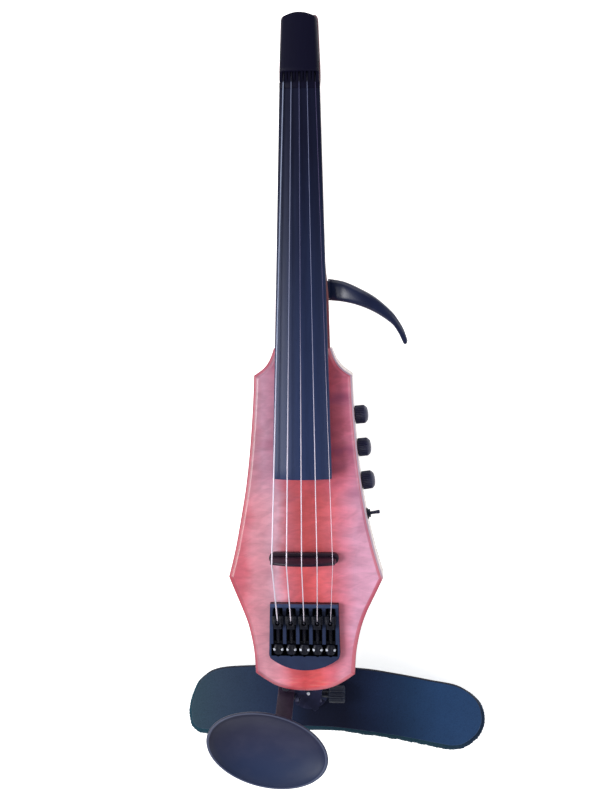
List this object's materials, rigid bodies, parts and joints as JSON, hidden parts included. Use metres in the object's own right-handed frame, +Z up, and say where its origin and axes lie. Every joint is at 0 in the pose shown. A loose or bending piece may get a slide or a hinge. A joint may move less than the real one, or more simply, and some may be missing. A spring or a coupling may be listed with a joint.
{
  "type": "electric violin",
  "caption": "Headless solid-body electric violin lying on its back, with figured red top, tail tuners, chin rest, shoulder rest and side hand hook.",
  "frame": {"origin": "centre of the footprint on the surface the instrument lies on, at the height of that surface", "axes": "+Z up as it lies on its back, +Y along the neck toward the head, +X to the treble side"},
  "size_m": [0.2382, 0.555, 0.1081],
  "materials": {
    "maple": "clear satin lacquer",
    "figured_maple": "amber-red stained gloss lacquer",
    "ebony": "polished",
    "black_plastic": "matte",
    "black_alloy": "black anodised",
    "black_metal": "black",
    "steel": "bright",
    "string_steel": "polished flat wound",
    "board_green": "solder mask",
    "battery_case": "satin",
    "grip_fabric": "finely textured",
    "pad_foam": "ribbed foam"
  },
  "bodies": {
    "instrument": {"body_core": "maple", "body_top": "figured_maple", "neck": "maple", "truss_rod": "steel", "neck_screws": "steel", "fingerboard": "ebony", "nut": "ebony", "string_anchor": "black_alloy", "head_cap": "ebony", "string_1": "string_steel", "string_2": "string_steel", "string_3": "string_steel", "string_4": "string_steel", "string_5": "string_steel", "bridge_foot": "black_plastic", "bridge": "ebony", "tuner_frame": "black_alloy", "volume_pot": "steel", "bass_pot": "steel", "treble_pot": "steel", "switch_body": "steel", "circuit_board": "board_green", "output_jack": "black_plastic", "battery_box": "black_plastic", "battery": "battery_case", "cavity_cover": "black_plastic", "cover_screws": "steel", "hook_arm": "black_plastic", "hook_screw": "steel", "rest_bracket": "black_alloy", "bracket_screws": "steel", "bracket_stud": "steel", "chin_arm": "black_alloy", "chin_arm_screw": "steel"},
    "carriage_1": {"tuner_carriage_1": "black_alloy"},
    "tuner_1": {"tuner_knob_1": "black_alloy"},
    "carriage_2": {"tuner_carriage_2": "black_alloy"},
    "tuner_2": {"tuner_knob_2": "black_alloy"},
    "carriage_3": {"tuner_carriage_3": "black_alloy"},
    "tuner_3": {"tuner_knob_3": "black_alloy"},
    "carriage_4": {"tuner_carriage_4": "black_alloy"},
    "tuner_4": {"tuner_knob_4": "black_alloy"},
    "carriage_5": {"tuner_carriage_5": "black_alloy"},
    "tuner_5": {"tuner_knob_5": "black_alloy"},
    "volume_knob": {"volume_knob": "black_plastic"},
    "bass_knob": {"bass_knob": "black_plastic"},
    "treble_knob": {"treble_knob": "black_plastic"},
    "switch_lever": {"switch_lever": "steel"},
    "battery_door": {"battery_door": "black_plastic"},
    "chin_rest": {"chin_cup": "black_plastic"},
    "chin_nut": {"chin_nut": "black_plastic"},
    "shoulder_mount": {"shoulder_hinge": "black_alloy"},
    "shoulder_rest": {"shoulder_bar": "grip_fabric", "shoulder_pad": "pad_foam"},
    "shoulder_screw": {"shoulder_screw": "black_metal"}
  },
  "joints": [
    {"name": "tuner_1_turn", "type": "hinge", "parent": "instrument", "child": "tuner_1", "pos_m": [-0.03791, -0.16448, 0.07694], "axis": [0, 0.9894, -0.1454], "range_deg": [-1540, 1540]},
    {"name": "carriage_1_slide", "type": "slide", "parent": "instrument", "child": "carriage_1", "axis": [0, 0.9894, -0.1454], "range_m": [-0.00299, 0.00299], "deforming": ["string_1"]},
    {"name": "tuner_2_turn", "type": "hinge", "parent": "instrument", "child": "tuner_2", "pos_m": [-0.02845, -0.16448, 0.07694], "axis": [0, 0.9894, -0.1454], "range_deg": [-1540, 1540]},
    {"name": "carriage_2_slide", "type": "slide", "parent": "instrument", "child": "carriage_2", "axis": [0, 0.9894, -0.1454], "range_m": [-0.00299, 0.00299], "deforming": ["string_2"]},
    {"name": "tuner_3_turn", "type": "hinge", "parent": "instrument", "child": "tuner_3", "pos_m": [-0.01897, -0.16448, 0.07694], "axis": [0, 0.9894, -0.1454], "range_deg": [-1540, 1540]},
    {"name": "carriage_3_slide", "type": "slide", "parent": "instrument", "child": "carriage_3", "axis": [0, 0.9894, -0.1454], "range_m": [-0.00299, 0.00299], "deforming": ["string_3"]},
    {"name": "tuner_4_turn", "type": "hinge", "parent": "instrument", "child": "tuner_4", "pos_m": [-0.0095, -0.16448, 0.07694], "axis": [0, 0.9894, -0.1454], "range_deg": [-1540, 1540]},
    {"name": "carriage_4_slide", "type": "slide", "parent": "instrument", "child": "carriage_4", "axis": [0, 0.9894, -0.1454], "range_m": [-0.00299, 0.00299], "deforming": ["string_4"]},
    {"name": "tuner_5_turn", "type": "hinge", "parent": "instrument", "child": "tuner_5", "pos_m": [-0.00003, -0.16448, 0.07694], "axis": [0, 0.9894, -0.1454], "range_deg": [-1540, 1540]},
    {"name": "carriage_5_slide", "type": "slide", "parent": "instrument", "child": "carriage_5", "axis": [0, 0.9894, -0.1454], "range_m": [-0.00299, 0.00299], "deforming": ["string_5"]},
    {"name": "volume_turn", "type": "hinge", "parent": "instrument", "child": "volume_knob", "pos_m": [0.0214, -0.00012, 0.03611], "axis": [0.9962, 0.0862, -0.0127], "range_deg": [-150, 150]},
    {"name": "bass_turn", "type": "hinge", "parent": "instrument", "child": "bass_knob", "pos_m": [0.0234, -0.02354, 0.03955], "axis": [0.9954, 0.0948, -0.0139], "range_deg": [-150, 150]},
    {"name": "treble_turn", "type": "hinge", "parent": "instrument", "child": "treble_knob", "pos_m": [0.02619, -0.04731, 0.04304], "axis": [0.9903, 0.1377, -0.0202], "range_deg": [-150, 150]},
    {"name": "switch_flick", "type": "hinge", "parent": "instrument", "child": "switch_lever", "pos_m": [0.0264, -0.07167, 0.04662], "axis": [0, 0.1454, 0.9894], "range_deg": [-12, 12]},
    {"name": "battery_door_hinge", "type": "hinge", "parent": "instrument", "child": "battery_door", "pos_m": [-0.04417, -0.07549, 0.03182], "axis": [1, 0, 0], "range_deg": [0, 100]},
    {"name": "chin_rest_swivel", "type": "hinge", "parent": "instrument", "child": "chin_rest", "pos_m": [-0.03537, -0.23055, 0.08817], "axis": [0, 0.1454, 0.9894], "range_deg": [-20, 20]},
    {"name": "chin_nut_turn", "type": "hinge", "parent": "instrument", "child": "chin_nut", "pos_m": [-0.03537, -0.23142, 0.08223], "axis": [0, 0.1454, 0.9894], "range_deg": [-180, 180]},
    {"name": "shoulder_tilt", "type": "hinge", "parent": "instrument", "child": "shoulder_mount", "pos_m": [-0.01897, -0.21907, 0.04251], "axis": [1, 0, 0], "range_deg": [-15, 15]},
    {"name": "shoulder_swivel", "type": "hinge", "parent": "shoulder_mount", "child": "shoulder_rest", "pos_m": [-0.01897, -0.22074, 0.03113], "axis": [0, 0.1454, 0.9894], "range_deg": [-20, 20]},
    {"name": "shoulder_screw_turn", "type": "hinge", "parent": "instrument", "child": "shoulder_screw", "pos_m": [-0.01897, -0.21907, 0.04251], "axis": [1, 0, 0], "range_deg": [-180, 180]}
  ],
  "couplings": [
    {"joint": "tuner_1_turn", "follows": "carriage_1_slide", "rad_per_m": -8976},
    {"joint": "tuner_2_turn", "follows": "carriage_2_slide", "rad_per_m": -8976},
    {"joint": "tuner_3_turn", "follows": "carriage_3_slide", "rad_per_m": -8976},
    {"joint": "tuner_4_turn", "follows": "carriage_4_slide", "rad_per_m": -8976},
    {"joint": "tuner_5_turn", "follows": "carriage_5_slide", "rad_per_m": -8976}
  ]
}
